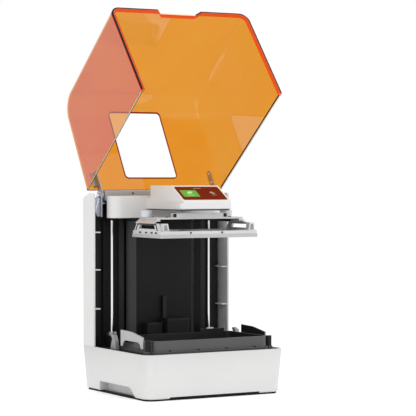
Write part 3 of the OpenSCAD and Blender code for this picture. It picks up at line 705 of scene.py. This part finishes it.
def build_hood():
    """Clear sheet with its thickness, window and edge lines, turned open."""
    sheet = hood_sheet()
    thick = sheet.modifiers.new("thick", "SOLIDIFY")
    thick.thickness = HOOD_WALL * MM
    thick.offset = -1
    thick.use_even_offset = True
    thick.material_offset = 1
    thick.material_offset_rim = 2
    apply_modifiers(sheet)
    ring = sheet.copy()
    ring.data = sheet.data.copy()
    bpy.context.scene.collection.objects.link(ring)
    build_window_line(ring)
    window_boolean(sheet, "DIFFERENCE", WINDOW_LINE)
    line_back_edge(sheet.data)
    finish_shading(sheet.data, HOOD_SMOOTH)
    sheet.data.transform(OPEN)
    settle(sheet, "hood")
    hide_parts("hood_shell")


# Places in the rim's list of materials. PALE is the painted highlight on the lip of the raised notch
ORANGE, SEAL, RED_LINE, PALE = range(4)
# Section of the rim: distance in from its outer face and height, with the material of the
# strip that starts there
RIM_SECTION = [
    (0, 3.2, SEAL), (0, 0.4, SEAL), (0.4, 0, SEAL), (3.4, 0, ORANGE), (5.2, 0, RED_LINE),
    (6.3, 0, ORANGE), (7, 0.4, ORANGE), (7, 6.1, ORANGE), (6.6, 6.5, ORANGE), (0.4, 6.5, ORANGE),
    (0, 6.1, ORANGE)
]
RIM_LEAN = 1.5


def rim_stations():
    """Plan of the rim's outer edge with its inward direction, its lift and its lean."""
    half, front, back = HOOD_HALF, HOOD_FRONT, HOOD_BACK
    flat, turn_y = half - HOOD_EDGE, front + HOOD_EDGE
    stations = [(half, back, -1, 0, 0, 0), (half, turn_y, -1, 0, 0, 0)]
    for k in range(1, EDGE_STEPS + 1):
        angle = math.pi / 2 * k / EDGE_STEPS
        x, y = math.cos(angle), -math.sin(angle)
        stations.append((flat + HOOD_EDGE * x, turn_y + HOOD_EDGE * y, -x, -y, 0, 0))
    stations.append((NOTCH_FOOT + RIM_LEAN, front, 0, 1, 0, 1))
    stations.append((NOTCH_TOP + RIM_LEAN, front, 0, 1, NOTCH_RISE, 1))
    mirrored = [(-x, y, -nx, ny, lift, -lean) for x, y, nx, ny, lift, lean in reversed(stations)]
    return stations + mirrored


def build_rim():
    """Thick rim along the hood's lower edge, with its seal and the finger notch."""
    stations = rim_stations()
    verts = []
    for x, y, in_x, in_y, lift, lean in stations:
        for depth, height, _ in RIM_SECTION:
            shear = lean * RIM_LEAN * (1 - 2 * height / RIM_TALL)
            verts.append(Vector((x + in_x * depth + shear, y + in_y * depth,
                                 RIM_LOW[2] + height + lift)) * MM)
    count = len(RIM_SECTION)
    faces = []
    numbers = []
    for i in range(len(stations) - 1):
        raised = stations[i][4] > 0 and stations[i + 1][4] > 0
        for k in range(count):
            n = (k + 1) % count
            faces.append((i * count + k, (i + 1) * count + k, (i + 1) * count + n, i * count + n))
            strip = RIM_SECTION[k][2]
            outside = strip == SEAL or k >= count - 2
            numbers.append(PALE if raised and outside else strip)
    last = (len(stations) - 1) * count
    faces.append(tuple(range(count)))
    faces.append(tuple(reversed(range(last, last + count))))
    numbers += [ORANGE, ORANGE]
    rim = make("hood_rim_bead", verts, faces, [RIM, RUBBER, EDGE_RED, EDGE_HIGHLIGHT], numbers)
    rim.data.transform(OPEN)
    settle(rim, "hood")
    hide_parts("hood_rim")


# ---------------------------------------------------------------- details

FRONT = Matrix.Rotation(math.pi / 2, 4, "X")
SCREEN_TILT = math.radians(30.5)
SCREEN_LONG = 50.0
SLOPE = Matrix.Rotation(SCREEN_TILT, 4, "X")


def body(node):
    """Name of the body that a CAD node moves with."""
    return NODES[node]["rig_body"]


def middle(node):
    """Centre of a node's box in mm."""
    low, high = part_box(node)
    return (low + high) / 2 / MM


def low_mm(node):
    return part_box(node)[0] / MM


def high_mm(node):
    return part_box(node)[1] / MM


def plate(name, outline, z0, z1, place, material, node, chamfer=0.3):
    """Detail plate that belongs to a node's body."""
    piece = prism(name, outline, z0, z1, [material], chamfer, place)
    return settle(piece, body(node))


def front_piece(name, outline, y, depth, material, node):
    """Plate standing out of a front face at y, outline in x and z."""
    return plate(name, outline, -y, -y + depth, FRONT, material, node)


def side_piece(name, side, outline, x, depth, material, node):
    """Plate standing out of a side face at x, outline in y and z."""
    sideways = Matrix(((0, 0, side, 0), (1, 0, 0, 0), (0, 1, 0, 0), (0, 0, 0, 1)))
    return plate(name, outline, x, x + depth, sideways, material, node)


def screws(name, node, places, axis, radius, material):
    """A screw head at each place in mm, all facing along axis."""
    for i, (x, y, z) in enumerate(places):
        screw_head(f"{name}_{i}", facing(x, y, z, axis), radius, material, body(node))


def paint_faces(obj, material, chosen):
    """Second material on the faces that chosen(normal, centre) picks."""
    number = len(obj.data.materials)
    obj.data.materials.append(material)
    for face in obj.data.polygons:
        if chosen(face.normal, face.center):
            face.material_index = number


def build_screen():
    """Fields and icons on the console's screen, without words."""
    centre = middle("screen_glass")
    on_glass = at(*centre) @ SLOPE
    face = (high_mm("screen_glass") - low_mm("screen_glass")).z
    top = (face - math.sin(SCREEN_TILT) * SCREEN_LONG) / math.cos(SCREEN_TILT) / 2
    fields = [
        # name, x0, y0, x1, y1, radius, height, material
        ("screen_field", -43.5, -13.5, -7.0, 11.5, 2.0, 0.10, SCREEN_GREEN),
        ("screen_tab", -34.0, -8.5, -17.0, -6.8, 0.8, 0.16, SCREEN_PALE),
        ("screen_sheet", -30.5, -2.5, -20.5, 4.0, 1.5, 0.16, SCREEN_PALE),
        ("screen_sheet_back", -27.5, 1.0, -17.5, 7.0, 1.5, 0.13, SCREEN_PALE),
        ("screen_title", -9.0, 17.5, 9.0, 19.0, 0.7, 0.10, SCREEN_GREY),
        ("screen_icon", 22.0, -0.5, 29.0, 5.5, 2.6, 0.10, SCREEN_GREY),
        ("screen_icon_low", 25.0, -3.0, 32.0, 1.5, 1.8, 0.13, SCREEN_GREY),
        ("screen_caption", 22.5, -8.2, 33.0, -6.8, 0.6, 0.10, SCREEN_GREY),
    ]
    for name, x0, y0, x1, y1, radius, height, material in fields:
        outline = rounded_outline(rectangle(x0, y0, x1, y1, radius))
        plate(name, outline, top - 0.3, top + height, on_glass, material, "screen_glass",
              0.05)


def build_console_shadow_gap():
    """Dark plate under the console, drawn in from its edge: a painted shadow in the gap beneath it.
    """
    low = low_mm("console_body")
    half, back = 53, 50
    outline = rounded_outline(rectangle(-half, low.y + 2, half, back, 4))
    # Painted shadow: a black plate where the gap under the console lies in shade
    plate("console_shadow_gap", outline, low.z - 2.0, low.z + 0.4, Matrix.Identity(4), BLACK_PLASTIC,
          "console_body")


CRADLE_RAIL = 3.2
CRADLE_BRACKET = 6.5
SLOT_PLACES = (-88, -70, -47, -22)
SLOT_HALF = 5
SLOT_RISE = 1.7


def build_cradle_sides():
    """Slots, dark lines and posts on the two sides of the platform's cradle, all painted shade: black
    plates for the shade in the slots and in the gaps round the side window, darker cast plates for
    the shaded posts.
    """
    low, high = low_mm("plate_cradle"), high_mm("plate_cradle")
    face = high.x
    front = -107 + 0.4
    rail = low.z + CRADLE_RAIL
    base = low.z + CRADLE_BRACKET
    for side, label in SIDES:
        # Black plates for the slots: painted shade inside them
        for i, y in enumerate(SLOT_PLACES):
            outline = rounded_outline(rectangle(y - SLOT_HALF, rail - SLOT_RISE,
                                                y + SLOT_HALF, rail + SLOT_RISE, 0.8))
            side_piece(f"cradle_slot_shade_{label}_{i}", side, outline, face - 0.5, 0.7,
                       BLACK_PLASTIC, "plate_cradle")
        # Black strips round the bracket's window: painted shade in its gaps
        shadow_lines = [
            ("top", [(-89, base + 11.7), (-9, base + 11.7), (-10, base + 14.5), (-88, base + 14.5)]),
            ("back", [(-12.2, base + 12), (-8.6, base + 12), (-1.8, base + 1), (-5.8, base + 1)]),
            ("front", [(-89.4, base + 12), (-85.6, base + 12), (-90.5, base + 1), (-94.6, base + 1)]),
        ]
        for name, corners in shadow_lines:
            outline = [Vector(c) for c in corners]
            side_piece(f"cradle_shadow_line_{name}_{label}", side, outline, face - 0.9, 0.8,
                       BLACK_PLASTIC, "plate_cradle")
        # A darker cast plate on the cradle's front: painted shade
        post = [(93.5, base + 1.5), (101.5, base + 1.5), (101.5, base + 12.5), (95.5, base + 12.5)]
        outline = rounded_outline([(side * x, z, 0.8) for x, z in post])
        front_piece(f"cradle_post_shade_{label}", outline, front, 0.9, DARK_CAST, "plate_cradle")


def build_cradle_middle():
    """Screws and clips on the cradle's front rail and bridge."""
    low, high = low_mm("plate_cradle"), high_mm("plate_cradle")
    rail_front, ridge_front = -108.9, -69.8
    spots = [(x, rail_front, low.z + CRADLE_RAIL) for x in (-43, 28)]
    screws("cradle_screw", "plate_cradle", spots, (0, -1, 0), 1.9, BLACK_PLASTIC)
    ridge = [(54, high.z - 8), (61, high.z - 8), (61, high.z - 1), (54, high.z - 1)]
    for side, label in SIDES:
        outline = rounded_outline([(side * x, z, 1.0) for x, z in ridge])
        front_piece(f"ridge_clip_{label}", outline, ridge_front, 1.4, BLACK_PLASTIC,
                    "plate_cradle")
    bridge = high.z - 8.4
    spots = [(x, y, bridge) for x in (-72, 72) for y in (-64, -4)]
    screws("bridge_screw", "plate_cradle", spots, (0, 0, 1), 3.0, BLACK_STEEL)


def build_hood_seals():
    """Thin dark seals along the inside of the hood's two rear edges."""
    inner, outer = HOOD_BACK - 2.2, HOOD_BACK - 0.1
    top = HOOD_TOP - 9
    for side, label in SIDES:
        outline = [Vector(c) for c in ((inner, SHEET_LOW), (outer, SHEET_LOW), (outer, top),
                                       (inner, top))]
        piece = side_piece(f"hood_seal_{label}", side, outline, HOOD_HALF - HOOD_WALL - 1.3, 1.5,
                           EDGE_DARK, "hood_shell")
        piece.data.transform(OPEN)


def build_head_details():
    """Flanges beside the hinges with a bright strip painted as a highlight along each flange's bend,
    screws of the hinge bar, rivets of the hood's arms.
    """
    bar_front, bar_z = low_mm("hinge_bar").y + 0.2, 400
    spots = [(x, bar_front, bar_z) for x in (-67, 67)]
    screws("hinge_bar_screw", "hinge_bar", spots, (0, -1, 0), 1.9, BLACK_STEEL)
    flange = [(140, 392), (149, 392), (152, 386), (152, 366), (146, 353), (140, 353)]
    # Bright strip along the flange's bend: painted highlight
    bend_glint = [(142, 389), (145, 389), (150.5, 371), (147, 356), (144.4, 356), (147.6, 371)]
    arm_inside = 132.2
    for side, label in SIDES:
        for name, corners, y, material in (("flange", flange, 96, HINGE_METAL),
                                           ("bend_glint", bend_glint, 94.6, STEEL)):
            outline = rounded_outline([(side * x, z, 1.2) for x, z in corners])
            front_piece(f"hinge_{name}_{label}", outline, y, 1.6, material, "hinge_brackets")
        for i, (y, z) in enumerate(((52, 386.3), (73, 388.6))):
            place = OPEN @ facing(side * arm_inside, y, z, (-side, 0, 0))
            screw_head(f"arm_rivet_{label}_{i}", place, 2.4, STEEL, body("hood_arms"))


def build_case_screws():
    """Screws of the deck, rear cover, exhaust fan and bottom plate."""
    deck = high_mm("top_deck").z - 0.1
    spots = [(x, y, deck) for x in (-150, 150) for y in (-60, 62)]
    spots += [(x, -129.6, deck) for x in (-70, 70)]
    screws("deck_screw", "top_deck", spots, (0, 0, 1), 2.2, BLACK_STEEL)
    rear = high_mm("rear_cover").y - 0.1
    spots = [(x, rear, z) for x in (-108, 108) for z in (98, 240, 380)]
    screws("rear_screw", "rear_cover", spots, (0, 1, 0), 2.6, BLACK_STEEL)
    fan = middle("exhaust_fan_frame")
    spots = [(fan.x + i, rear, fan.z + k) for i in (-24, 24) for k in (-24, 24)]
    screws("fan_screw", "rear_cover", spots, (0, 1, 0), 2.2, BLACK_STEEL)
    under = low_mm("bottom_plate").z + 0.1
    spots = [(x, y, under) for x in (-128, 128) for y in (-112, 112)]
    screws("floor_screw", "bottom_plate", spots, (0, 0, -1), 2.6, BLACK_STEEL)


def build_feed_details():
    """Cover panel and screws on the feed module."""
    low = low_mm("feed_module")
    side_front = 56.2
    outline = rounded_outline(rectangle(-9, 92, 35, 141, 2.5))
    front_piece("feed_panel", outline, low.y + 0.2, 1.2, BLACK_STEEL, "feed_module")
    outline = rounded_outline(rectangle(-47, 92, -18, 133, 2.5))
    front_piece("feed_panel_small", outline, side_front, 1.2, BLACK_STEEL, "feed_module")
    spots = [(x, low.y - 0.8, z) for x in (-5, 31) for z in (97, 136)]
    screws("feed_screw", "feed_module", spots, (0, -1, 0), 1.5, BLACK_PLASTIC)


def build_lead_screw():
    """Screw with its thread as a raised ridge."""
    low, high = low_mm("lead_screw"), high_mm("lead_screw")
    x, y = (low.x + high.x) / 2, (low.y + high.y) / 2
    neck, shaft = 92.0, high.z
    profile = [(2.5, low.z), (2.5, neck), (3.4, neck), (3.4, shaft - 0.6), (2.8, shaft)]
    core = turned("lead_screw_core", profile, at(x, y, 0), STEEL, 24)
    settle(core, body("lead_screw"))
    pitch, steps = 4.0, 14
    ridge_radius, ridge_thick = 3.45, 0.5
    turns = (shaft - neck - 4) / pitch
    path = []
    for k in range(int(turns * steps)):
        angle = 2 * math.pi * k / steps
        path.append(Vector((x + ridge_radius * math.cos(angle), y + ridge_radius * math.sin(angle),
                            neck + 2 + pitch * k / steps)) * MM)
    ridge = tube("lead_screw_thread", path, ridge_thick * MM, STEEL, 5)
    settle(ridge, body("lead_screw"))
    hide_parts("lead_screw")


def build_fan(node, axis):
    """Rotor with a domed hub and seven curved blades, turning about axis."""
    low, high = low_mm(node), high_mm(node)
    centre = (low + high) / 2
    half = ((high - low).y if axis.y else (high - low).z) / 2
    wide = (high - low).x / 2
    place = facing(*centre, axis)
    profile = [(9.5, -half), (11, -half + 1), (11, half - 1.5), (9.8, half - 0.3), (4, half)]
    hub = turned(node + "_hub", profile, place, BLACK_PLASTIC, 40)
    verts = []
    faces = []
    steps, blades = 6, 7
    root, tip_gap, blade_lean, blade_half = 10.6, 0.6, 0.35, 0.26
    for blade in range(blades):
        start = len(verts)
        for k in range(steps + 1):
            share = k / steps
            radius = root + (wide - tip_gap - root) * share
            sweep = 2 * math.pi * blade / blades + blade_lean * share
            for across in (-1, 1):
                turn = sweep + across * blade_half
                for skin in (-0.5, 0.5):
                    point = Vector((radius * math.cos(turn), radius * math.sin(turn),
                                    across * (half - 1.2) + skin))
                    verts.append(place @ (point * MM))
        for k in range(steps):
            a, b = start + 4 * k, start + 4 * k + 4
            for i, j in ((0, 1), (1, 3), (3, 2), (2, 0)):
                faces.append((a + i, a + j, b + j, b + i))
        end = start + 4 * steps
        faces.append((start, start + 2, start + 3, start + 1))
        faces.append((end, end + 1, end + 3, end + 2))
    blade_set = make(node + "_blades", verts, faces, [BLACK_PLASTIC])
    for piece in (hub, blade_set):
        settle(piece, body(node))
    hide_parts(node)


# ---------------------------------------------------------------- stage

FLOOR_HALF = 40.0
FLOOR_GLOW = 0.10
LAMP_AIM = Vector((0, 0, 0.3))
LENS_MM = 160.9
SENSOR_MM = 36.0
CAMERA_SPOT = (-1.8344, -3.2805, 0.43505)
CAMERA_AIM = Vector((0.4997, 0.8660, -0.01718))


def build_stage():
    """Pale floor, even white surroundings and three soft lamps."""
    half = FLOOR_HALF
    verts = [(-half, -half, 0), (half, -half, 0), (half, half, 0), (-half, half, 0)]
    paint = surface("floor_paint", (0.90, 0.90, 0.90), 0.85, mottle=0.005, grain=3.0, bump=0.02,
                    specular=0.1)
    shader = paint.node_tree.nodes["Principled BSDF"]
    shader.inputs["Emission Color"].default_value = (1, 1, 1, 1)
    shader.inputs["Emission Strength"].default_value = FLOOR_GLOW
    floor = make("floor", verts, [(0, 1, 2, 3)], [paint])
    world = bpy.data.worlds.new("studio")
    world.use_nodes = True
    background = world.node_tree.nodes["Background"]
    background.inputs["Color"].default_value = (1, 1, 1, 1)
    background.inputs["Strength"].default_value = 1.0
    bpy.context.scene.world = world
    add_lamp("key", (-1.6, -2.2, 2.4), 1.8, 26)
    add_lamp("side", (2.4, -0.6, 1.8), 1.6, 10)
    add_lamp("top", (0.2, 0.4, 2.8), 2.2, 14)


def add_lamp(name, location, size, power):
    """Round area lamp that points at the object."""
    data = bpy.data.lights.new(name, "AREA")
    data.shape = "DISK"
    data.size = size
    data.energy = power
    lamp = bpy.data.objects.new(name, data)
    lamp.location = location
    aim = LAMP_AIM - Vector(location)
    lamp.rotation_euler = aim.to_track_quat("-Z", "Y").to_euler()
    bpy.context.scene.collection.objects.link(lamp)


def build_camera():
    """Long lens at the photo's viewing angle."""
    data = bpy.data.cameras.new("camera")
    data.sensor_width = SENSOR_MM
    data.lens = LENS_MM
    camera = bpy.data.objects.new("camera", data)
    camera.location = CAMERA_SPOT
    camera.rotation_euler = CAMERA_AIM.to_track_quat("-Z", "Y").to_euler()
    bpy.context.scene.collection.objects.link(camera)
    bpy.context.scene.camera = camera
    bpy.context.scene.view_settings.view_transform = "Standard"


# ---------------------------------------------------------------- build

softened = {}
for node_name, edge, paint, slot_name in SOFT:
    softened[node_name] = soften(node_name, edge, paint)
# Painted light: shade on the handles' inner sides and on the vat's inner walls, a lighter sheen on
# the tower's slanting sides
paint_faces(softened["vat_handles"], BLACK_STEEL, lambda n, c: n.x * c.x < 0 and abs(n.x) > 0.7)
vat_y = (middle("vat_body") * MM).y
# Painted shade on the vat's inner walls
paint_faces(softened["vat_body"], VAT_INSIDE_SHADE,
            lambda n, c: abs(n.z) < 0.5 and n.x * c.x + n.y * (c.y - vat_y) < 0)
# Painted sheen on the tower's slanting sides
paint_faces(softened["tower_cover"], TOWER_SIDE_SHEEN, lambda n, c: abs(n.x) > 0.3 and n.y < 0)
for node_name, paint, slot_name in KEPT:
    repaint(node_name, paint)
build_hood()
build_rim()
build_hood_seals()
build_screen()
build_console_shadow_gap()
build_cradle_sides()
build_cradle_middle()
build_head_details()
build_case_screws()
build_feed_details()
build_lead_screw()
build_fan("led_fan_rotor", Vector((0, 0, 1)))
build_fan("exhaust_fan_rotor", Vector((0, 1, 0)))
build_stage()
build_camera()
